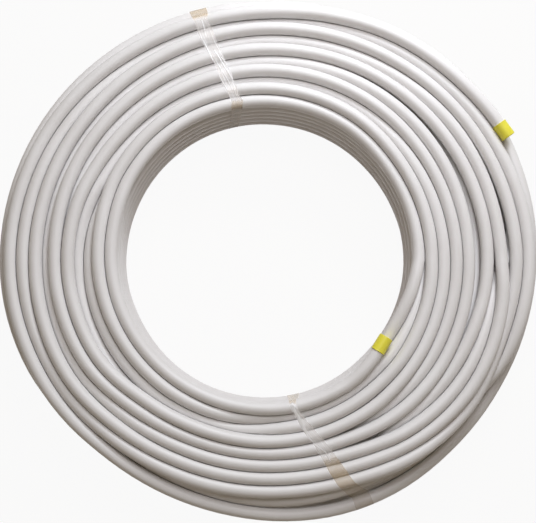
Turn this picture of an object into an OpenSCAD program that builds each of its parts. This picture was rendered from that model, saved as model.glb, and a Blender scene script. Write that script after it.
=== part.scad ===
// Coil of multilayer pipe, lying flat on one of its faces.
// Millimetres. +Z is up, the origin is on the coil's axis at the floor,
// and both pipe ends leave the upper face.

/* [Pipe] */
// Outside diameter of the pipe
pipe_od = 16; // [12:0.5:20]
// Bore of the pipe
pipe_bore = 12; // [8:0.5:12.5]

/* [Winding] */
// Clear opening through the middle of the coil
coil_bore = 380; // [300:5:500]
// Layers wound one over the other
layers = 10; // [4:2:14]
// Turns side by side in each layer
turns_per_layer = 6; // [3:1:10]
// Play between neighbouring turns
turn_play = 0.1; // [0.05:0.05:1]
// How far the closed core stands over the line through the turn centres
core_proud = 2; // [1:0.25:4]

/* [Outer end] */
// Bearing at which the outer end leaves the coil
outer_leave = 62; // [0:1:360]
// Length of pipe that has sprung away, up to the cap
outer_length = 190; // [120:1:260]
// Direction in which it stands away from its turn: 0 is outward, 90 is straight up
outer_rise = 16; // [0:1:60]
// Gap between its cap's mouth and the turn that it has left
outer_clearance = 4.7; // [0.3:0.1:10]

/* [Inner end] */
// Bearing at which the inner end leaves the coil
inner_leave = 284; // [0:1:360]
// Length of pipe that has come away, up to the cap
inner_length = 125; // [80:1:160]
// Direction in which it stands away from its turn: 0 is inward, 90 is straight up
inner_rise = 40; // [0:1:60]
// Gap between its cap's mouth and the turn that it has left
inner_clearance = 0.7; // [0.3:0.1:10]

/* [Cut ends] */
// How far a bend runs into the cap, which hides where the straight end begins
end_in_cap = 2; // [1:0.25:3]
// How deep each end starts inside the turn that it leaves
end_sunk = 1.5; // [0.5:0.25:3]
// How much the straight end is dressed down under the cap, on the radius
end_dressed = 0.15; // [0.12:0.01:0.3]
// How far the straight end is rooted back in its bend
end_root = 1; // [0.5:0.25:2]

/* [End caps] */
// Length of a cap over its closed end
cap_length = 21; // [14:0.5:40]
// Wall of the cap's sleeve
cap_wall = 0.95; // [0.6:0.05:2]
// Thickness of the cap's closed end
cap_end = 1.6; // [0.8:0.1:3]
// Clearance between the cap and the pipe
cap_clearance = 0.05; // [0.05:0.05:0.3]
// Width of the bead round the cap's mouth
cap_bead = 1.6; // [1:0.2:4]
// Height of that bead over the sleeve
cap_bead_proud = 0.35; // [0.2:0.05:1]
// Chamfer round the closed end
cap_chamfer = 0.8; // [0.3:0.1:1.2]

/* [Tape] */
// Width of the packing tape where it crosses the coil's outside
tape_width = 22.5; // [12:0.5:50]
// Thickness of a band, all its wraps together
tape_thickness = 0.2; // [0.1:0.05:0.6]
// Clearance between a band and the turns that it presses on
tape_seat = 0.02; // [0.02:0.01:0.1]
// Bearing of the far band
tape_far = 103; // [0:1:360]
// Bearing of the near band
tape_near = 285; // [0:1:360]

/* [Hidden] */

turn_pitch = pipe_od + turn_play;
// Each layer nests in the grooves of the one under it, half a turn higher or lower
layer_pitch = turn_pitch * sin(60);
// The coil rests on its bands, so its lowest turns are a band's thickness off the floor
floor_gap = tape_thickness + tape_seat;

function layer_radius(layer) = coil_bore / 2 + pipe_od / 2 + layer * layer_pitch;
function turn_height(layer, turn) =
    floor_gap + pipe_od / 2 + (turn + (layer % 2) / 2) * turn_pitch;

last_layer = layers - 1;
last_turn = turns_per_layer - 1;
outer_radius = layer_radius(last_layer);
inner_radius = layer_radius(0);

// Centres of the six turns that carry the bands, going round the winding's section
section_corners = [
    [inner_radius, turn_height(0, 0)],
    [layer_radius(last_layer - 1), turn_height(0, 0)],
    [outer_radius, turn_height(last_layer, 0)],
    [outer_radius, turn_height(last_layer, last_turn)],
    [layer_radius(1), turn_height(1, last_turn)],
    [inner_radius, turn_height(0, last_turn)]
];

// The winding's section: the turns of its skin, nested as they lie, on a closed core
module winding_section() {
    for (layer = [0 : last_layer])
        for (turn = [0 : last_turn])
            if (layer == 0 || layer == last_layer || turn == 0 || turn == last_turn)
                translate([layer_radius(layer), turn_height(layer, turn)])
                    circle(d = pipe_od, $fn = 48);
    polygon(concat(
        [for (layer = [0 : last_layer])
            [layer_radius(layer) + side_shift(layer), turn_height(layer, 0) - core_proud]],
        [for (layer = [last_layer : -1 : 0])
            [layer_radius(layer) + side_shift(layer), turn_height(layer, last_turn) + core_proud]]
    ));
}

// The core stands as proud at the coil's outside and in its opening as it does on its faces
function side_shift(layer) = layer == 0 ? -core_proud : layer == last_layer ? core_proud : 0;

cap_bore_radius = pipe_od / 2 + cap_clearance;
cap_radius = cap_bore_radius + cap_wall;
cap_bead_radius = cap_radius + cap_bead_proud;
straight_end = cap_length - cap_end - cap_clearance - end_in_cap;

// Each end goes on from a turn of radius lane and drifts away from it, outward or inward,
// until its cap clears that turn. Its curvature differs from the turn's by what that takes.
function end_stand(clearance) = pipe_od / 2 + cap_bead_radius + clearance;
function end_drift(stand, rise) = stand * cos(rise) + end_sunk;
function end_rising(stand, rise) = stand * sin(rise) + end_sunk;
function end_bend(lane, side, drift, length) = 1 / (1 / lane - side * 2 * drift / pow(length, 2));
function end_sweep(bend, length) = length / bend * 180 / PI;
function end_climb(bend, rising, length) = asin(rising / (bend * sin(end_sweep(bend, length))));

outer_stand = end_stand(outer_clearance);
outer_lane = outer_radius - end_sunk;
outer_bend = end_bend(outer_lane, 1, end_drift(outer_stand, outer_rise), outer_length);
outer_climb = end_climb(outer_bend, end_rising(outer_stand, outer_rise), outer_length);

inner_stand = end_stand(inner_clearance);
inner_lane = inner_radius + end_sunk;
inner_bend = end_bend(inner_lane, -1, end_drift(inner_stand, inner_rise), inner_length);
inner_climb = end_climb(inner_bend, end_rising(inner_stand, inner_rise), inner_length);

// Places children at the centre of an end's bend, in its tilted plane
module on_bend(leave, clockwise, lane, bend, climb, height) {
    rotate([0, 0, leave])
        mirror([0, clockwise ? 1 : 0, 0])
            translate([lane - bend, 0, height - end_sunk])
                rotate([climb, 0, 0])
                    children();
}

module on_outer_bend() {
    on_bend(outer_leave, true, outer_lane, outer_bend, outer_climb,
            turn_height(last_layer, last_turn))
        children();
}

module on_inner_bend() {
    on_bend(inner_leave, false, inner_lane, inner_bend, inner_climb,
            turn_height(0, last_turn))
        children();
}

// Places children where a bend ends, with +Z the way the pipe points
module at_bend_end(bend, length) {
    rotate([0, 0, end_sweep(bend, length)])
        translate([bend, 0, 0])
            rotate([-90, 0, 0])
                children();
}

module bend_of_pipe(bend, length) {
    rotate_extrude(angle = end_sweep(bend, length), $fn = 180)
        translate([bend, 0])
            circle(d = pipe_od, $fn = 48);
}

// The straight end is rooted in the bend, and its bore shows as deep as it is long
module straight_pipe() {
    difference() {
        translate([0, 0, -end_root])
            cylinder(r = pipe_od / 2 - end_dressed, h = straight_end + end_root, $fn = 48);
        translate([0, 0, end_root])
            cylinder(d = pipe_bore, h = straight_end, $fn = 48);
    }
}

module pipe_coil() {
    color("white")
    union() {
        rotate_extrude($fn = 180)
            winding_section();
        on_outer_bend()
            bend_of_pipe(outer_bend, outer_length);
        on_inner_bend()
            bend_of_pipe(inner_bend, inner_length);
        on_outer_bend()
            at_bend_end(outer_bend, outer_length)
                straight_pipe();
        on_inner_bend()
            at_bend_end(inner_bend, inner_length)
                straight_pipe();
    }
}

// A moulded cup that slides over the cut end, closed face outward
module end_cap() {
    inside_z = straight_end + cap_clearance;
    face_z = inside_z + cap_end;
    mouth_z = face_z - cap_length;
    color("gold")
    rotate_extrude($fn = 96)
        polygon([
            [0, inside_z],
            [cap_bore_radius, inside_z],
            [cap_bore_radius, mouth_z],
            [cap_bead_radius - cap_bead_proud / 2, mouth_z],
            [cap_bead_radius, mouth_z + cap_bead_proud / 2],
            [cap_bead_radius, mouth_z + cap_bead - cap_bead_proud],
            [cap_radius, mouth_z + cap_bead],
            [cap_radius, face_z - cap_chamfer],
            [cap_radius - cap_chamfer, face_z],
            [0, face_z]
        ]);
}

module end_cap_outer() {
    on_outer_bend()
        at_bend_end(outer_bend, outer_length)
            end_cap();
}

module end_cap_inner() {
    on_inner_bend()
        at_bend_end(inner_bend, inner_length)
            end_cap();
}

// Outline that a taut band takes round the winding's section, at a distance from the turns
module band_outline(distance) {
    hull()
        for (corner = section_corners)
            translate(corner)
                circle(r = pipe_od / 2 + distance, $fn = 64);
}

// A band is gathered towards the opening, so it covers the same angle all the way across
module tape_band(bearing) {
    band_angle = 2 * atan(tape_width / 2 / (outer_radius + pipe_od / 2));
    color("wheat", 0.5)
    rotate([0, 0, bearing - band_angle / 2])
        rotate_extrude(angle = band_angle, $fn = 720)
            difference() {
                band_outline(tape_seat + tape_thickness);
                band_outline(tape_seat);
            }
}

module tape_band_far() {
    tape_band(tape_far);
}

module tape_band_near() {
    tape_band(tape_near);
}

pipe_coil();
end_cap_outer();
end_cap_inner();
tape_band_far();
tape_band_near();
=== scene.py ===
"""A coil of multilayer pipe lying flat, with a cap on each end and two bands of clear tape.

Metres, +Z up, the coil's axis is the vertical through the origin. Bearings are in degrees,
anticlockwise from +X, and the pipe is wound clockwise, from its inner end to its outer one.
"""
import math

import bpy
import numpy as np
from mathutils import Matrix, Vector


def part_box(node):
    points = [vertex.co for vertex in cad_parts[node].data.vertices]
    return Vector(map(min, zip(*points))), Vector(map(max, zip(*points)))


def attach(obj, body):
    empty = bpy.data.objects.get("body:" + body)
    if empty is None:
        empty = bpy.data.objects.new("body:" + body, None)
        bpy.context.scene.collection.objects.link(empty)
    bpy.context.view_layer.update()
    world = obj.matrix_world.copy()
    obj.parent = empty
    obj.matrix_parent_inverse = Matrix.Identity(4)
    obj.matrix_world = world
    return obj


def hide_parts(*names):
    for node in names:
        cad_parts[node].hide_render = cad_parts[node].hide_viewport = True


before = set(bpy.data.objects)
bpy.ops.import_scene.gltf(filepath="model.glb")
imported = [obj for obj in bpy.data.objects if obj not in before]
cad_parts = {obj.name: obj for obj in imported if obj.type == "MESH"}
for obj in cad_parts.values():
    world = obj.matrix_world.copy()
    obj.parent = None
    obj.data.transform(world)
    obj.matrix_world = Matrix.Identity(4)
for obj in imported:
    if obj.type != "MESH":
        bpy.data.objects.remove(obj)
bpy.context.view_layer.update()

MM = 0.001

# ---- what model.glb gives -------------------------------------------------------------------

OUTER_CAP = [(a + b) / 2 for a, b in zip(*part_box("end_cap_outer"))]
INNER_CAP = [(a + b) / 2 for a, b in zip(*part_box("end_cap_inner"))]

# ---- the pipe and how it is wound, in millimetres -------------------------------------------

PIPE_OD = 16.0
ROW_STEP = 16.1
ROWS_BELOW = 5
COLUMNS = 10
# The lowest turns are this far off the floor, with the bands under them.
FLOOR_GAP = 0.22
LOWEST = FLOOR_GAP + PIPE_OD / 2
TOP_LEVEL = LOWEST + (ROWS_BELOW + 0.5) * ROW_STEP
PIPE_SIDES = 24
# The pipe's colour is darkened, as painted shade, where the gap between two turns is narrower than this.
CREVICE_GAP = 1.3

# Degrees from one ring of the pipe to the next
STEP = 3
PER_TURN = 360 // STEP
# Degrees that a hidden turn takes, on each side, to cross into the next cell
CROSSING = 30
# Further off than any turn of the coil
FAR_OFF = 1e4

# The hidden turns against the bore, and the outermost ones: bearing, radius, off a real coil's edges.
BORE_SIDE = ((0, 201), (90, 203), (180, 198.5), (215, 195), (255, 195), (310, 197))
OUTER_SIDE = (
    (0, 334), (30, 337), (60, 335), (90, 328), (120, 325), (150, 326), (180, 326), (205, 320),
    (225, 309), (245, 306), (260, 310), (290, 321), (315, 324), (340, 330),
)

# The stretches that lie on top, each in winding order: bearing, radius, depth below the top. Many
# of the radii are traced from one real coil, and the rest were adjusted or chosen beside them.
RUN_BORE = (
    (300, 192, 2), (270, 194, 4), (230, 193, 4), (180, 196, 3), (120, 202, 2), (90, 202, 3),
    (60, 201, 5), (30, 196, 6), (0, 196, 4), (350, 193, 3), (330, 189, 9), (318, 189, 15),
)
RUN_INNER = (
    (358, 203, 10), (340, 200, 7), (310, 200, 8), (270, 203, 8), (230, 204, 5), (180, 208.5, 2),
    (165, 209.5, 2), (152, 213, 1), (120, 216, 1), (60, 214, 1), (30, 210, 0), (350, 210, 1),
    (310, 213, 1), (278, 214.5, 4), (262, 216.5, 8), (250, 217.5, 9), (240, 217.5, 9), (228, 218, 9),
    (200, 219.5, 9), (180, 220.5, 9), (168, 220.5, 10), (155, 219.5, 14),
)
RUN_MIDDLE = (
    (238, 232, 20), (230, 234, 16), (222, 235.5, 13), (210, 237, 13), (195, 237, 12), (180, 236, 10),
    (168, 233.5, 8), (155, 229, 7), (140, 226.5, 7), (120, 226, 7), (60, 227, 7),
    (30, 225, 3), (0, 226, 1), (350, 227, 0), (310, 231, 0), (275, 229, 1), (250, 228.5, 2),
    (230, 233.5, 1), (210, 243.5, 0), (180, 246, 0), (170, 244.5, 0), (160, 242, 0), (150, 239.5, 0),
    (137, 237, 0), (90, 238, 0), (30, 240, 0), (350, 243, 1), (325, 244, 3), (303, 242, 12),
)
RUN_OUTER = (
    (182, 252, 12), (150, 252, 7), (90, 253, 7), (60, 256, 3), (30, 258, 1), (0, 258, 1),
    (330, 258, 1), (310, 255, 1), (290, 247, 1), (250, 242.5, 2), (230, 247.5, 1), (210, 260, 0),
    (180, 263.5, 0), (165, 265, 0), (150, 264, 0), (120, 263, 0), (90, 267, 0), (60, 273, 0),
    (0, 282, 0), (350, 281, 0), (330, 277, 2), (303, 267, 12),
)
RUN_LAST = (
    (356, 296, 12), (345, 294, 3), (330, 290, 1), (310, 280, 1), (290, 264, 1), (270, 258, 2),
    (250, 257.5, 2), (230, 262.5, 3), (210, 272, 5), (190, 273.5, 7), (170, 273.5, 8), (150, 273.5, 8),
    (120, 274.5, 8), (90, 280.5, 7), (60, 288, 6), (30, 296, 1), (0, 299, 0), (345, 303, 0), (330, 306, -1),
    (310, 295, 0), (290, 279, 0), (250, 272.5, 1), (230, 276, 1), (210, 285.5, 0), (180, 287, 0),
    (120, 289, 0), (90, 295, 0), (60, 303, 0), (30, 313, 0), (0, 319, 0), (350, 319, 3),
    (342, 318, 8), (334, 318, 10), (326, 319, 9), (318, 316, 7), (310, 311, 3), (300, 303, 0),
    (290, 294, 0), (270, 288, 1), (250, 287.5, 1), (230, 290, 3), (210, 298, 4),
    (180, 302, 0), (150, 301, 2), (120, 300, 7), (90, 305, 8), (60, 318, 5), (30, 329, 2),
    (0, 336, 0), (350, 333, 1), (345, 331, 3), (340, 330, 8), (335, 328, 15), (330, 324, 23),
    (325, 320, 28), (315, 317, 28), (305, 314, 27), (295, 312, 28), (280, 309.5, 29),
    (270, 307, 29), (260, 305, 29), (250, 303.5, 29), (240, 303.5, 28), (230, 307, 26),
    (220, 314, 22), (205, 322, 16), (180, 327, 14), (150, 327, 13), (120, 327, 14),
    (100, 328, 14), (75, 333, 14), (60, 342, 14), (45, 348, 14), (32, 350, 14), (16, 347, 14),
    (0, 347, 23), (350, 347, 31), (342, 347, 38), (335, 346, 43), (330, 345, 45),
    (325, 344, 45), (318, 342, 44), (312, 340, 42), (305, 338, 37), (290, 332, 25),
    (275, 323, 16), (260, 315, 12), (250, 311.5, 10), (240, 309.5, 9), (230, 309, 7), (220, 312, 4),
    (205, 313.5, 1), (180, 316, 0), (150, 314, 0), (135, 312, 0), (120, 311, 0), (105, 312, 0),
    (90, 314, -1), (75, 322, -2), (60, 331, -3), (42, 338, -5),
)

RUNS = (RUN_BORE, RUN_INNER, RUN_MIDDLE, RUN_OUTER, RUN_LAST)
# The pipe's bend behind the inner cap, before the first run
INNER_BEND = (312, 187, -3)
# Columns that the hidden turns fill between one top run and the next: down one, up the next.
COLUMNS_BETWEEN = ((0, 1), (2, 3), (4, 5), (6, 7, 8, 9))
# Whole turns that each of those hidden lengths holds, besides the part turn between bearings.
TURNS_BETWEEN = (9, 9, 9, 18)


def polar(point):
    """Bearing in degrees, radius and height in millimetres of a point in metres."""
    x, y, z = point
    return math.degrees(math.atan2(y, x)) % 360, math.hypot(x, y) / MM, z / MM


def unwound(knots, start):
    """The knots with each bearing turned into degrees wound since `start`."""
    wound = []
    last = None
    for bearing, radius, drop in knots:
        if last is None:
            angle = start
        else:
            angle = wound[-1][0] + (last - bearing) % 360
        wound.append((angle, radius, drop))
        last = bearing
    return wound


def smooth_through(knots, angles):
    """Radius and drop at each angle, on a monotone cubic through the knots."""
    a = np.array([k[0] for k in knots], float)
    out = []
    for column in (1, 2):
        v = np.array([k[column] for k in knots], float)
        gap = np.diff(a)
        slope = np.diff(v) / gap
        tangent = np.zeros_like(v)
        same = slope[:-1] * slope[1:] > 0
        mean = 2 * slope[:-1] * slope[1:] / np.where(same, slope[:-1] + slope[1:], 1)
        tangent[1:-1] = np.where(same, mean, 0)
        tangent[0], tangent[-1] = slope[0], slope[-1]
        i = np.clip(np.searchsorted(a, angles, "right") - 1, 0, len(a) - 2)
        t = (angles - a[i]) / gap[i]
        out.append(
            (1 + 2 * t) * (1 - t) ** 2 * v[i]
            + t * (1 - t) ** 2 * gap[i] * tangent[i]
            + t * t * (3 - 2 * t) * v[i + 1]
            + t * t * (t - 1) * gap[i] * tangent[i + 1]
        )
    return out


def around(knots, bearing):
    """A closed, smooth function of the bearing through the knots."""
    b = np.array([k[0] for k in knots], float)
    v = np.array([k[1] for k in knots], float)
    b = np.concatenate(([b[-1] - 360], b, [b[0] + 360]))
    v = np.concatenate(([v[-1]], v, [v[0]]))
    bearing = np.asarray(bearing, float) % 360
    i = np.clip(np.searchsorted(b, bearing, "right") - 1, 0, len(b) - 2)
    t = (bearing - b[i]) / (b[i + 1] - b[i])
    t = t * t * (3 - 2 * t)
    return v[i] * (1 - t) + v[i + 1] * t


def cell_place(column, row, bearing):
    """Where a hidden turn lies: its radius and height in its column and row."""
    inner = around(BORE_SIDE, bearing)
    outer = around(OUTER_SIDE, bearing)
    radius = inner + (outer - inner) * column / (COLUMNS - 1)
    height = LOWEST + ROW_STEP * (row + (column % 2) / 2)
    return radius, height


def cells_in(columns):
    """The cells of some columns in winding order: down the first, up the next."""
    cells = []
    for place, column in enumerate(columns):
        # the last run lies in the uppermost row of the outermost column
        rows = range(ROWS_BELOW - 1 if column == COLUMNS - 1 else ROWS_BELOW)
        cells += [(column, row) for row in (reversed(rows) if place % 2 == 0 else rows)]
    return cells


def hidden_place(cells, along, edge, bearing):
    """Where the pipe is, that many cells along, easing into the next cell within `edge` of it."""
    cell = min(int(along), len(cells) - 1)
    part = along - cell
    r, z = cell_place(*cells[cell], bearing)
    if part < edge and cell > 0:
        mix = 0.5 - 0.5 * part / edge
        r2, z2 = cell_place(*cells[cell - 1], bearing)
        r, z = r + (r2 - r) * mix, z + (z2 - z) * mix
    if part > 1 - edge and cell < len(cells) - 1:
        mix = 0.5 * (part - 1 + edge) / edge
        r2, z2 = cell_place(*cells[cell + 1], bearing)
        r, z = r + (r2 - r) * mix, z + (z2 - z) * mix
    return r, z


def lay_out():
    """The top runs' knots and the hidden lengths between them, in degrees wound, and their end."""
    start, start_radius, start_height = polar(INNER_CAP)
    end, end_radius, end_height = polar(OUTER_CAP)
    runs = list(RUNS)
    runs[0] = ((start, start_radius, TOP_LEVEL - start_height), INNER_BEND) + runs[0]
    runs[-1] = runs[-1] + ((end, end_radius, TOP_LEVEL - end_height),)
    top = []
    hidden = []
    at = 0.0
    for index, run in enumerate(runs):
        knots = unwound(run, at)
        top.append(knots)
        at = knots[-1][0]
        if index < len(COLUMNS_BETWEEN):
            arc = (run[-1][0] - runs[index + 1][0][0]) % 360 + 360 * TURNS_BETWEEN[index]
            hidden.append((at, at + arc, cells_in(COLUMNS_BETWEEN[index])))
            at += arc
    return start, top, hidden, at


def wind():
    """The winding's first guess: where it starts, and at each step the bearing, the radius and
    height, and whether it lies on top."""
    start, top, hidden, wound = lay_out()
    angles = np.arange(int(wound // STEP) + 1) * float(STEP)
    place = np.zeros((len(angles), 2))
    on_top = np.zeros(len(angles))
    for knots in top:
        here = (angles >= knots[0][0]) & (angles <= knots[-1][0])
        radius, drop = smooth_through(knots, angles[here])
        place[here] = np.stack([radius, TOP_LEVEL - drop], 1)
        on_top[here] = 1
    for begin, finish, cells in hidden:
        length = (finish - begin) / len(cells)
        for k in np.where((angles > begin) & (angles < finish))[0]:
            along = (angles[k] - begin) / length
            place[k] = hidden_place(cells, along, CROSSING / length, start - angles[k])
    return start, start - angles, place, on_top


# How the winding settles: rounds, and in each round how far a turn goes towards the middle of its
# neighbours along the pipe, towards its first place when it lies on top or is hidden, down, and
# away from a turn that it presses into.
SETTLE_ROUNDS = 260
STRAIGHTEN = 0.5
HOLD_ON_TOP = 0.35
HOLD_HIDDEN = 0.02
SINK = 0.02
PUSH_APART = 0.7
# A turn on top gives way less than a hidden one, by this share.
ON_TOP_GIVES = 0.25
TURN_CLEARANCE = 0.02
# How far a hidden turn may pass the coil's sides
SIDE_PLAY = 1.0
# Times that each is done in a round
STRAIGHTEN_TIMES = 3
PUSH_TIMES = 2
# Steps at the two ends that are put back in their first place each round
HELD_AT_START = 8
HELD_AT_END = 16


def relax(place, on_top, bearings):
    """Lets the turns settle: they keep about a pipe's width apart, stay smooth and sink."""
    count = len(place)
    turns = -(-count // PER_TURN)
    total = turns * PER_TURN
    aim = place.copy()
    spare = np.zeros((total - count, 2))
    spare[:, 0] = -FAR_OFF - 100.0 * np.arange(total - count)
    place = place.copy()
    gives = np.where(on_top > 0, ON_TOP_GIVES, 1.0)
    widest = np.where(on_top > 0, FAR_OFF, around(OUTER_SIDE, bearings) + SIDE_PLAY)
    narrowest = np.where(on_top > 0, 0, around(BORE_SIDE, bearings) - SIDE_PLAY)
    hold = np.where(on_top > 0, HOLD_ON_TOP, HOLD_HIDDEN)
    hold[:HELD_AT_START] = 1
    hold[-HELD_AT_END:] = 1
    reach = PIPE_OD + TURN_CLEARANCE
    weight = np.concatenate([gives, np.ones(total - count)]).reshape(turns, PER_TURN).T
    share = weight[:, :, None] / (weight[:, :, None] + weight[:, None, :])
    for number in range(SETTLE_ROUNDS):
        late = number / SETTLE_ROUNDS
        for _ in range(STRAIGHTEN_TIMES):
            mid = (place[:-2] + place[2:]) / 2
            place[1:-1] += STRAIGHTEN * (mid - place[1:-1])
        place += hold[:, None] * (aim - place)
        place[:, 1] -= np.where(on_top > 0, 0.0, SINK * (1 - late))
        for _ in range(PUSH_TIMES):
            full = np.concatenate([place, spare]).reshape(turns, PER_TURN, 2).transpose(1, 0, 2)
            gap = full[:, :, None, :] - full[:, None, :, :]
            dist = np.sqrt((gap ** 2).sum(-1))
            dist[:, range(turns), range(turns)] = FAR_OFF
            over = np.clip(reach - dist, 0, None)
            push = (gap / np.maximum(dist, 1e-6)[..., None] * (over * share)[..., None]).sum(2)
            push *= PUSH_APART
            full = (full + push).transpose(1, 0, 2).reshape(total, 2)
            place = full[:count]
            place[:, 1] = np.maximum(place[:, 1], LOWEST)
            place[:, 0] = np.clip(place[:, 0], narrowest, widest)
    return place


start_bearing, bearings, place, on_top = wind()
place = relax(place, on_top, bearings)


def to_points(radius, bearing, height):
    """Points in metres, from millimetres and degrees."""
    b = np.radians(bearing)
    return np.stack([radius * np.cos(b), radius * np.sin(b), height], 1) * MM


path = to_points(place[:, 0], bearings, place[:, 1])
# the last step is a short one, which ends where the outer cap is
path = np.vstack([path, OUTER_CAP])


def crevices(sides):
    """How tight the crevice is at each point of the pipe's skin, 1 where two turns touch; the pipe's colour
    is darkened by it as painted shade.
    """
    turns = -(-len(place) // PER_TURN)
    spare = np.full((turns * PER_TURN - len(place), 2), -FAR_OFF)
    middles = np.concatenate([place, spare]).reshape(turns, PER_TURN, 2)
    turn = np.linspace(0, 2 * math.pi, sides, endpoint=False)
    skin = PIPE_OD / 2 * np.stack([-np.cos(turn), np.sin(turn)], 1)
    tight = np.zeros((turns, PER_TURN, sides))
    for k in range(PER_TURN):
        spots = middles[:, k, None] + skin[None]
        away = np.linalg.norm(spots[:, :, None] - middles[None, None, :, k], axis=-1)
        away[range(turns), :, range(turns)] = FAR_OFF
        gap = np.maximum(away.min(axis=-1) - PIPE_OD / 2, 0)
        tight[:, k] = np.maximum(1 - gap / CREVICE_GAP, 0) ** 2
    tight = tight.reshape(-1, sides)[:len(place)]
    return np.vstack([tight, tight[-1:]])


# ---- mesh helpers ---------------------------------------------------------------------------

def new_object(name, verts, faces, material):
    """A smooth-shaded mesh object with one material."""
    mesh = bpy.data.meshes.new(name)
    mesh.from_pydata([tuple(v) for v in verts], [], faces)
    mesh.update()
    mesh.polygons.foreach_set("use_smooth", [True] * len(mesh.polygons))
    mesh.materials.append(material)
    obj = bpy.data.objects.new(name, mesh)
    bpy.context.scene.collection.objects.link(obj)
    return obj


def sweep(name, line, radius, sides, material):
    """A round tube along the line of points, closed at both ends, with a UV map in metres."""
    line = np.asarray(line, float)
    ahead = np.gradient(line, axis=0)
    ahead /= np.linalg.norm(ahead, axis=1)[:, None]
    up = np.tile([0.0, 0.0, 1.0], (len(line), 1))
    side = np.cross(ahead, up)
    side /= np.linalg.norm(side, axis=1)[:, None]
    up = np.cross(side, ahead)
    turn = np.linspace(0, 2 * math.pi, sides, endpoint=False)
    ring = side[:, None, :] * np.cos(turn)[None, :, None] + up[:, None, :] * np.sin(turn)[None, :, None]
    verts = (line[:, None, :] + radius * ring).reshape(-1, 3)
    i = np.arange(len(line) - 1)[:, None] * sides
    j = np.arange(sides)[None, :]
    k = (j + 1) % sides
    faces = np.stack([i + j, i + k, i + sides + k, i + sides + j], -1).reshape(-1, 4).tolist()
    faces.append(list(range(sides))[::-1])
    faces.append([(len(line) - 1) * sides + s for s in range(sides)])
    obj = new_object(name, verts, faces, material)
    length = np.concatenate(([0], np.cumsum(np.linalg.norm(np.diff(line, axis=0), axis=1))))
    part = 2 * math.pi * radius / sides
    uv = np.zeros((len(obj.data.loops), 2))
    steps, places = np.meshgrid(np.arange(len(line) - 1), np.arange(sides), indexing="ij")
    corners = np.stack([
        np.stack([places * part, length[steps]], -1),
        np.stack([(places + 1) * part, length[steps]], -1),
        np.stack([(places + 1) * part, length[steps + 1]], -1),
        np.stack([places * part, length[steps + 1]], -1),
    ], 2).reshape(-1, 2)
    uv[:len(corners)] = corners
    obj.data.uv_layers.new(name="along").data.foreach_set("uv", uv.ravel())
    return obj


# ---- materials ------------------------------------------------------------------------------

class Shade:
    """A small helper that builds one material's nodes."""

    def __init__(self, name, roughness):
        self.material = bpy.data.materials.new(name)
        self.material.use_nodes = True
        self.nodes = self.material.node_tree.nodes
        self.links = self.material.node_tree.links
        self.shader = self.nodes["Principled BSDF"]
        self.shader.inputs["Roughness"].default_value = roughness

    def node(self, kind, **settings):
        made = self.nodes.new(kind)
        for key, value in settings.items():
            setattr(made, key, value)
        return made

    def link(self, source, target):
        self.links.new(source, target)

    def coordinates(self, which, scale):
        spread = self.node("ShaderNodeMapping")
        spread.inputs["Scale"].default_value = scale
        self.link(self.node("ShaderNodeTexCoord").outputs[which], spread.inputs["Vector"])
        return spread.outputs["Vector"]

    def noise(self, which, scale, detail, roughness=0.5):
        made = self.node("ShaderNodeTexNoise")
        made.inputs["Scale"].default_value = 1.0
        made.inputs["Detail"].default_value = detail
        made.inputs["Roughness"].default_value = roughness
        self.link(self.coordinates(which, scale), made.inputs["Vector"])
        return made.outputs["Fac"]

    def ramp(self, fac, stops):
        made = self.node("ShaderNodeValToRGB")
        band = made.color_ramp
        while len(band.elements) < len(stops):
            band.elements.new(0.5)
        for element, (position, colour) in zip(band.elements, stops):
            element.position = position
            element.color = (*colour, 1)
        self.link(fac, made.inputs["Fac"])
        return made.outputs["Color"]

    def mix(self, fac, under, colour):
        """One plain colour over what is under it, by `fac`."""
        made = self.node("ShaderNodeMix", data_type="RGBA")
        self.link(fac, made.inputs["Factor"])
        self.link(under, made.inputs[6])
        made.inputs[7].default_value = (*colour, 1)
        return made.outputs[2]

    def spread(self, fac, low, high, start=0.0, end=1.0):
        made = self.node("ShaderNodeMapRange")
        made.inputs["From Min"].default_value = start
        made.inputs["From Max"].default_value = end
        made.inputs["To Min"].default_value = low
        made.inputs["To Max"].default_value = high
        self.link(fac, made.inputs["Value"])
        return made.outputs["Result"]

    def bump(self, height, distance, strength):
        made = self.node("ShaderNodeBump")
        made.inputs["Distance"].default_value = distance
        made.inputs["Strength"].default_value = strength
        self.link(height, made.inputs["Height"])
        return made.outputs["Normal"]

    def into(self, socket, output):
        self.link(output, self.shader.inputs[socket])


def pipe_material():
    """White polyethylene: satin, faint draw lines along it, slight mottling and scuffs, and painted shade,
    near black, where two turns touch.
    """
    m = Shade("pipe_white", 0.42)
    cloud = m.noise("Object", (9, 9, 14), 4, 0.6)
    tint = m.ramp(cloud, ((0.3, (0.74, 0.72, 0.71)), (0.7, (0.79, 0.775, 0.77))))
    scuff = m.noise("UV", (420, 26, 1), 3, 0.65)
    marks = m.spread(scuff, 0, 1, 0.66, 0.8)
    colour = m.mix(marks, tint, (0.69, 0.66, 0.63))
    crevice = m.node("ShaderNodeAttribute", attribute_name="crevice").outputs["Fac"]
    # Painted shade: the colour goes near black where two turns touch, standing in for the shade in the
    # crevice between them.
    colour = m.mix(m.spread(crevice, 0, 0.9), colour, (0.05, 0.052, 0.05))
    m.into("Base Color", colour)
    m.into("Roughness", m.spread(cloud, 0.37, 0.5, 0.3, 0.7))
    lines = m.noise("UV", (900, 3, 1), 2)
    m.into("Normal", m.bump(lines, 0.00012, 0.35))
    return m.material


def cap_material():
    """Yellow moulded polyethylene, a little worn."""
    m = Shade("cap_yellow", 0.42)
    cloud = m.noise("Object", (60, 60, 60), 3)
    m.into("Base Color", m.ramp(cloud, ((0.3, (0.76, 0.69, 0.045)), (0.7, (0.82, 0.745, 0.065)))))
    grain = m.noise("Object", (900, 900, 900), 2)
    m.into("Normal", m.bump(grain, 0.0002, 0.3))
    return m.material


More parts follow.
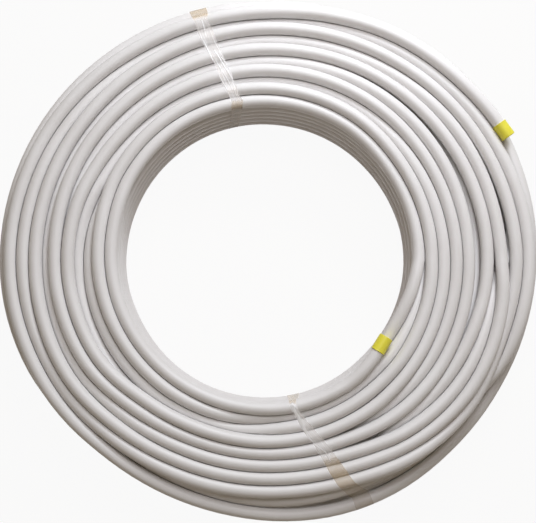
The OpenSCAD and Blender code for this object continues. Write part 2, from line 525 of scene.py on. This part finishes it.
def tape_material():
    """Clear packing tape: a thin tan film that goes white where it is creased."""
    m = Shade("tape_clear", 0.22)
    cloud = m.noise("Object", (90, 90, 130), 3)
    white = m.node("ShaderNodeAttribute", attribute_name="white").outputs["Fac"]
    film = m.ramp(white, (
        (0.0, (0.50, 0.37, 0.19)), (0.12, (0.72, 0.69, 0.67)), (0.6, (0.82, 0.82, 0.83)),
    ))
    m.into("Base Color", m.mix(m.spread(cloud, 0, 0.25, 0.35, 0.7), film, (0.60, 0.48, 0.34)))
    m.into("Alpha", m.ramp(white, ((0.0, (0.28,) * 3), (0.12, (0.36,) * 3), (1.0, (0.86,) * 3))))
    m.into("Normal", m.bump(cloud, 0.0005, 0.4))
    return m.material


pipe_white = pipe_material()
cap_yellow = cap_material()
tape_clear = tape_material()

# ---- pieces ---------------------------------------------------------------------------------

BATCHES = 4
edges = np.linspace(0, len(path) - 1, BATCHES + 1).astype(int)
# How much painted shade darkens each point of the pipe's skin
painted_crevice_shade = crevices(PIPE_SIDES)
for number in range(BATCHES):
    stretch = slice(edges[number], edges[number + 1] + 1)
    piece = sweep(f"winding_{number + 1}", path[stretch], PIPE_OD / 2 * MM, PIPE_SIDES, pipe_white)
    layer = piece.data.attributes.new("crevice", "FLOAT", "POINT")
    layer.data.foreach_set("value", painted_crevice_shade[stretch].ravel())
    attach(piece, "root")
    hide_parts("pipe_coil")


# ---- end caps, in millimetres ---------------------------------------------------------------

CAP_LENGTH = 21.0
CAP_WALL = 0.95
CAP_CLEARANCE = 0.05
CAP_FACE = 1.6
# Rounds inside the closed end, of the rolled mouth and of the outer edge
CAP_INSIDE_ROUND = 0.6
CAP_MOUTH_ROUND = 0.62
CAP_EDGE_ROUND = 1.2
CAP_SIDES = 64


def lathe(name, profile, middle, axis, material):
    """A solid of revolution: profile holds (distance along the axis, radius) in millimetres."""
    axis = Vector(axis).normalized()
    turn = axis.to_track_quat("Z", "Y").to_matrix()
    verts = []
    for along, radius in profile:
        for k in range(CAP_SIDES):
            a = 2 * math.pi * k / CAP_SIDES
            spot = Vector((radius * math.cos(a), radius * math.sin(a), along)) * MM
            verts.append(Vector(middle) + turn @ spot)
    faces = []
    for row in range(len(profile) - 1):
        for k in range(CAP_SIDES):
            n = (k + 1) % CAP_SIDES
            a, b = row * CAP_SIDES, (row + 1) * CAP_SIDES
            faces.append((a + k, a + n, b + n, b + k))
    return new_object(name, verts, faces, material)


def rounded(along, radius, size, start, end, count=6):
    """Points on a quarter round of that size, about a centre, between two angles."""
    turns = [math.radians(start + (end - start) * i / count) for i in range(count + 1)]
    return [(along + size * math.sin(t), radius + size * math.cos(t)) for t in turns]


def cap_profile():
    """A moulded cup: rolled mouth, plain sleeve, rounded edge, slightly dished face."""
    half = CAP_LENGTH / 2
    bore = PIPE_OD / 2 + CAP_CLEARANCE
    sleeve = bore + CAP_WALL
    floor = half - CAP_FACE
    inside = [(floor, 0.01), (floor, bore - CAP_INSIDE_ROUND), (floor - CAP_INSIDE_ROUND, bore)]
    mouth = [(-half + 0.35, bore)]
    mouth += rounded(-half + CAP_MOUTH_ROUND, sleeve - 0.27, CAP_MOUTH_ROUND, -100, 70)
    neck = [(-half + 1.6, sleeve + 0.06), (-half + 2.1, sleeve)]
    edge = rounded(half - CAP_EDGE_ROUND, sleeve - 1.3, CAP_EDGE_ROUND, 0, 90)
    face = [(half, sleeve - 2.0), (half - 0.25, sleeve - 2.4), (half - 0.3, 1.6),
            (half - 0.05, 1.3), (half - 0.02, 0.6), (half - 0.02, 0.01)]
    return inside + mouth + neck + edge + face


def add_caps():
    ends = (("cap_inner", path[0], path[0] - path[2], "end_cap_inner"),
            ("cap_outer", path[-1], path[-1] - path[-3], "end_cap_outer"))
    for name, middle, axis, node in ends:
        cap = lathe(name, cap_profile(), middle, axis, cap_yellow)
        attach(cap, "root")
        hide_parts(node)


add_caps()

# ---- tape -----------------------------------------------------------------------------------

# Radius and height of a point inside the winding's section, which a band goes round
SECTION_MIDDLE = np.array([262.0, 52.0])
# Corners of a turn, for the outline; steps round a band and across it
TURN_CORNERS = 40
OUTLINE_ANGLES = 721
ROW_LENGTH = 1.6
ACROSS = 40
CREASES = 60
# How milky a gathered band is between its creases, and how high a crease stands
MILKY = 0.28
CREASE_HEIGHT = 0.2
# A band's edges wander by this much, over and over along it
RAGGED = 0.3
RAGGED_TURN = 0.21
LOWEST_TAPE = 0.02
# Millimetres past its ends over which a strand fades out
STRAND_FADE = 4


def turns_at(bearing):
    """Radius and height of every turn that crosses a bearing."""
    first = ((start_bearing - bearing) % 360) / STEP
    spots = np.arange(first, len(place) - 1, PER_TURN)
    low = spots.astype(int)
    part = (spots - low)[:, None]
    return place[low] * (1 - part) + place[low + 1] * part


def hull(points):
    """Corners of the convex outline round the points, anticlockwise."""
    points = sorted(map(tuple, points))
    sides = []
    for order in (points, points[::-1]):
        chain = []
        for p in order:
            while len(chain) > 1:
                (ax, ay), (bx, by) = chain[-2], chain[-1]
                if (bx - ax) * (p[1] - ay) - (by - ay) * (p[0] - ax) > 0:
                    break
                chain.pop()
            chain.append(p)
        sides += chain[:-1]
    return np.array(sides)


def taut_outline(bearing, off):
    """The hull of the turns at a bearing, that far off them, as corners."""
    a = np.linspace(0, 2 * math.pi, TURN_CORNERS, endpoint=False)
    ring = (PIPE_OD / 2 + off) * np.stack([np.cos(a), np.sin(a)], 1)
    return hull((turns_at(bearing)[:, None, :] + ring[None]).reshape(-1, 2))


def outline_hit(corners, angle):
    """Where a ray from the section's middle at that angle meets the outline."""
    edge = np.roll(corners, -1, 0) - corners
    out = np.stack([edge[:, 1], -edge[:, 0]], 1)
    ray = np.array([math.cos(angle), math.sin(angle)])
    facing = out @ ray
    reach = ((corners - SECTION_MIDDLE) * out).sum(1)
    return SECTION_MIDDLE + ray * (reach[facing > 1e-9] / facing[facing > 1e-9]).min()


# Each band, going round the section from its outside over the top: angle in the section,
# bearing, width in millimetres, and how milky it is with small creases there. Bearings and
# widths on top are read off one real coil.
FAR_BAND = (
    (0, 105.3, 22.5, 0), (36, 105.3, 22, 0), (44, 105.3, 20, 0), (48, 105.4, 16.5, 0.5),
    (56, 105.1, 18.8, 0.5), (71, 104.7, 17.7, 1), (90, 103.8, 15.1, 1), (108, 102.9, 14.9, 1),
    (124, 102.3, 15.4, 1), (129, 101.7, 15.3, 0.8), (136, 101.2, 11.5, 0.9), (141, 100.4, 14.4, 0.15),
    (145, 100.9, 14.9, 0), (180, 101.8, 14, 0), (214, 102.6, 13.3, 0), (270, 104.5, 19, 0.1),
    (325, 105.3, 22.5, 0), (360, 105.3, 22.5, 0),
)
NEAR_BAND = (
    (0, 292, 22.5, 0), (35, 291.7, 23, 0), (47, 290.4, 19.7, 0), (59, 289.2, 19.9, 0),
    (80, 288, 18.2, 0), (94, 287.3, 16.4, 0.2), (102, 286.8, 15.6, 0.8), (115, 285.8, 14, 1),
    (128, 283.8, 12.8, 1), (137, 282.2, 10.3, 1), (143, 280.7, 6.8, 0.7), (147, 280.3, 8.3, 0.1),
    (160, 281.2, 12, 0), (214, 282.5, 17, 0), (270, 287, 19, 0.1), (325, 291.8, 22, 0), (360, 292, 22.5, 0),
)

# White strands where a band is gathered: width and height of the fold in millimetres, then
# the radius and bearing of points along it.
FAR_STRANDS = (
    (0.5, 0.2, ((310, 105.2), (302, 105.1), (292, 105.2))),
    (0.6, 0.4, ((283, 106.1), (261, 105.4), (239, 104.7), (227, 104.0), (217, 103.1), (205, 102.7))),
    (0.6, 0.4, ((267, 104.0), (261, 103.4), (250, 102.7), (238, 101.6), (226, 100.6), (216, 99.6))),
    (0.5, 0.4, ((261, 102.9), (249, 101.7), (238, 100.9), (230, 100.7))),
    (0.4, 0.3, ((252, 104.2), (240, 103.2), (228, 102.2), (214, 101.3))),
)
NEAR_STRANDS = (
    (2.2, 0.8, ((188, 279.9), (196, 280.6), (208, 281.7), (222, 282.6))),
    (1.3, 0.7, ((188, 280.2), (193, 281.9), (204, 283.0), (210, 284.7), (217, 285.9), (227, 287.1),
                (236, 288.3))),
    (0.5, 0.4, ((222, 282.4), (237, 284.1), (251, 286.8), (262, 287.4))),
)


def knot_values(knots, angle):
    """Bearing, width and milkiness of a band at an angle in the section."""
    table = np.array(knots, float)
    return [np.interp(angle, table[:, 0], table[:, column]) for column in (1, 2, 3)]


def band_rows(knots, off, start, end):
    """Angles in the section at even steps round the band, and the distance to each."""
    fine = np.linspace(0, 360, OUTLINE_ANGLES)
    corners = taut_outline(knot_values(knots, 180)[0], off)
    outline = np.array([outline_hit(corners, math.radians(a)) for a in fine])
    run = np.concatenate(([0], np.cumsum(np.linalg.norm(np.diff(outline, axis=0), axis=1))))
    section_angles = np.interp(np.arange(0, run[-1], ROW_LENGTH), run, fine)
    kept = (section_angles > start + 0.5) & (section_angles < end - 0.5)
    section_angles = np.concatenate(([start], section_angles[kept], [end]))
    return section_angles, np.interp(section_angles, fine, run)


def small_creases(rng, length):
    """Thin creases along a band: place, half length, lane, slope, width and whiteness."""
    return [(rng.uniform(0, length), rng.uniform(10, 34), rng.uniform(-0.95, 0.95),
             rng.uniform(-0.012, 0.012), rng.uniform(0.03, 0.07), rng.uniform(0.2, 0.6))
            for _ in range(CREASES)]


def strand_at(strand, radius, bearings):
    """How much of a strand there is across one row of a band, from 0 to 1."""
    width, _, points = strand
    table = np.array(sorted(points), float)
    inside = min(radius - table[0, 0], table[-1, 0] - radius)
    fade = min(1.0, max(0.0, inside / STRAND_FADE + 1))
    off_line = np.radians(bearings - np.interp(radius, table[:, 0], table[:, 1])) * radius
    return fade * np.exp(-((off_line / width) ** 2))


def add_band(name, knots, strands, node, seed, off=0.12, start=0.0, end=360.0):
    """One band of tape drawn taut round the section, with its creases."""
    section_angles, reach = band_rows(knots, off, start, end)
    creases = small_creases(np.random.default_rng(seed), reach[-1])
    bearings = np.arange(math.floor(min(k[1] for k in knots)) - 4,
                         math.ceil(max(k[1] for k in knots)) + 5, 1.0)
    taut = np.array([
        [outline_hit(shape, math.radians(a)) for a in section_angles]
        for shape in (taut_outline(b, off) for b in bearings)
    ])
    v = np.linspace(-1, 1, ACROSS + 1)
    rows = []
    white = []
    for i, angle in enumerate(section_angles):
        bearing, width, milky = knot_values(knots, angle)
        ragged = RAGGED * math.sin(reach[i] * RAGGED_TURN + seed) * np.abs(v)
        b = bearing + np.degrees(v * (width / 2 + ragged) / taut[0, i, 0])
        j = (b - bearings[0]).astype(int)
        part = (b - bearings[0] - j)[:, None]
        spot = taut[j, i] * (1 - part) + taut[j + 1, i] * part
        lift = np.zeros_like(v)
        pale = np.full_like(v, MILKY * milky)
        for at, length, lane, slope, size, amount in creases:
            along = reach[i] - at
            ridge = np.exp(-(along / length) ** 2 - ((v - lane - slope * along) / size) ** 2)
            pale += milky * amount * ridge
            lift += CREASE_HEIGHT * milky * amount * ridge
        if spot[0, 1] > SECTION_MIDDLE[1]:
            for strand in strands:
                share = strand_at(strand, spot[:, 0].mean(), b)
                pale += share
                lift += strand[1] * share
        outward = spot - SECTION_MIDDLE
        spot += outward / np.linalg.norm(outward, axis=1)[:, None] * lift[:, None]
        rows.append(to_points(spot[:, 0], b, np.maximum(spot[:, 1], LOWEST_TAPE)))
        white.append(np.minimum(pale, 1))
    columns = len(v)
    corner = (np.arange(len(rows) - 1)[:, None] * columns + np.arange(ACROSS)[None]).ravel()
    faces = np.stack([corner, corner + 1, corner + columns + 1, corner + columns], 1).tolist()
    band = new_object(name, np.concatenate(rows), faces, tape_clear)
    layer = band.data.attributes.new("white", "FLOAT", "POINT")
    layer.data.foreach_set("value", np.concatenate(white))
    # a clear film this thin hardly darkens what is under it
    band.visible_shadow = False
    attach(band, "root")
    if node:
        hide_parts(node)


add_band("tape_far", FAR_BAND, FAR_STRANDS, "tape_band_far", 3)
add_band("tape_near", NEAR_BAND, NEAR_STRANDS, "tape_band_near", 8)
# Where the tape lies double: name, band, seed, distance off the turns, and from where to where
OVERLAPS = (
    ("tape_far_tail", FAR_BAND, 5, 0.35, 0, 46),
    ("tape_far_end", FAR_BAND, 7, 0.55, 0, 45),
    ("tape_far_wall", FAR_BAND, 9, 0.35, 131, 214),
    ("tape_near_tail", NEAR_BAND, 6, 0.35, 52, 91),
    ("tape_near_wall", NEAR_BAND, 4, 0.35, 146, 214),
)
for name, knots, seed, off, start, end in OVERLAPS:
    add_band(name, knots, (), None, seed, off, start, end)


# ---- floor, light and camera ----------------------------------------------------------------

# Half the floor's side in metres, its colour in the light, and how white it is when seen
FLOOR_HALF = 6.0
FLOOR_COLOUR = (0.50, 0.44, 0.40, 1)
FLOOR_WHITENESS = 0.94


def seen_as_white(tree, lit, output, share):
    """Camera, glossy and transmission rays see `share` of plain white, the rest of them `lit`."""
    nodes, links = tree.nodes, tree.links
    path_info = nodes.new("ShaderNodeLightPath")
    seen = None
    for ray in ("Is Camera Ray", "Is Glossy Ray", "Is Transmission Ray"):
        if seen is None:
            seen = path_info.outputs[ray]
            continue
        either = nodes.new("ShaderNodeMath")
        either.operation = "MAXIMUM"
        links.new(seen, either.inputs[0])
        links.new(path_info.outputs[ray], either.inputs[1])
        seen = either.outputs[0]
    part = nodes.new("ShaderNodeMath")
    part.operation = "MULTIPLY"
    part.inputs[1].default_value = share
    links.new(seen, part.inputs[0])
    white = nodes.new("ShaderNodeEmission" if lit.node.type != "BACKGROUND" else "ShaderNodeBackground")
    white.inputs["Color"].default_value = (1, 1, 1, 1)
    white.inputs["Strength"].default_value = 1
    mix = nodes.new("ShaderNodeMixShader")
    links.new(part.outputs[0], mix.inputs["Fac"])
    links.new(lit, mix.inputs[1])
    links.new(white.outputs[0], mix.inputs[2])
    links.new(mix.outputs[0], output.inputs["Surface"])


def make_floor():
    half = FLOOR_HALF
    mesh = bpy.data.meshes.new("floor")
    mesh.from_pydata([(-half, -half, 0), (half, -half, 0), (half, half, 0), (-half, half, 0)],
                     [], [(0, 1, 2, 3)])
    floor = bpy.data.objects.new("floor", mesh)
    bpy.context.scene.collection.objects.link(floor)
    pale = Shade("floor_pale", 0.9)
    pale.shader.inputs["Base Color"].default_value = FLOOR_COLOUR
    pale.shader.inputs["Specular IOR Level"].default_value = 0.1
    seen_as_white(pale.material.node_tree, pale.shader.outputs["BSDF"],
                  pale.nodes["Material Output"], FLOOR_WHITENESS)
    mesh.materials.append(pale.material)


def make_world(strength, colour):
    world = bpy.data.worlds.new("world")
    bpy.context.scene.world = world
    world.use_nodes = True
    tree = world.node_tree
    sky = tree.nodes["Background"]
    sky.inputs["Color"].default_value = (*colour, 1)
    sky.inputs["Strength"].default_value = strength
    seen_as_white(tree, sky.outputs[0], tree.nodes["World Output"], 1.0)


def area_light(name, bearing, elevation, distance, size, power, colour):
    """A soft round lamp that points at the origin."""
    data = bpy.data.lights.new(name, "AREA")
    data.shape = "DISK"
    data.size = size
    data.energy = power
    data.color = colour
    lamp = bpy.data.objects.new(name, data)
    a, e = math.radians(bearing), math.radians(elevation)
    out = Vector((math.cos(a) * math.cos(e), math.sin(a) * math.cos(e), math.sin(e)))
    lamp.location = out * distance
    lamp.rotation_euler = out.to_track_quat("Z", "Y").to_euler()
    bpy.context.scene.collection.objects.link(lamp)


make_floor()
make_world(strength=0.17, colour=(1.0, 0.79, 0.52))
area_light("key", bearing=71, elevation=35, distance=1.4, size=0.45, power=11.5,
           colour=(0.89, 0.94, 1.0))
area_light("upper", bearing=71, elevation=65, distance=1.1, size=0.55, power=4.6,
           colour=(0.93, 0.94, 1.0))

# The camera's place in metres, its tilt in degrees, and its lens and sensor in millimetres
CAMERA_PLACE = (-0.0244, -0.0741, 0.9482)
CAMERA_TILT = (4.5, -1.85, 0)
LENS = 45.67
SENSOR_WIDTH = 36


def make_camera():
    data = bpy.data.cameras.new("camera")
    data.sensor_width = SENSOR_WIDTH
    data.lens = LENS
    camera = bpy.data.objects.new("camera", data)
    camera.location = CAMERA_PLACE
    camera.rotation_euler = [math.radians(turn) for turn in CAMERA_TILT]
    bpy.context.scene.collection.objects.link(camera)
    bpy.context.scene.camera = camera


make_camera()

bpy.context.scene.view_settings.view_transform = "Standard"
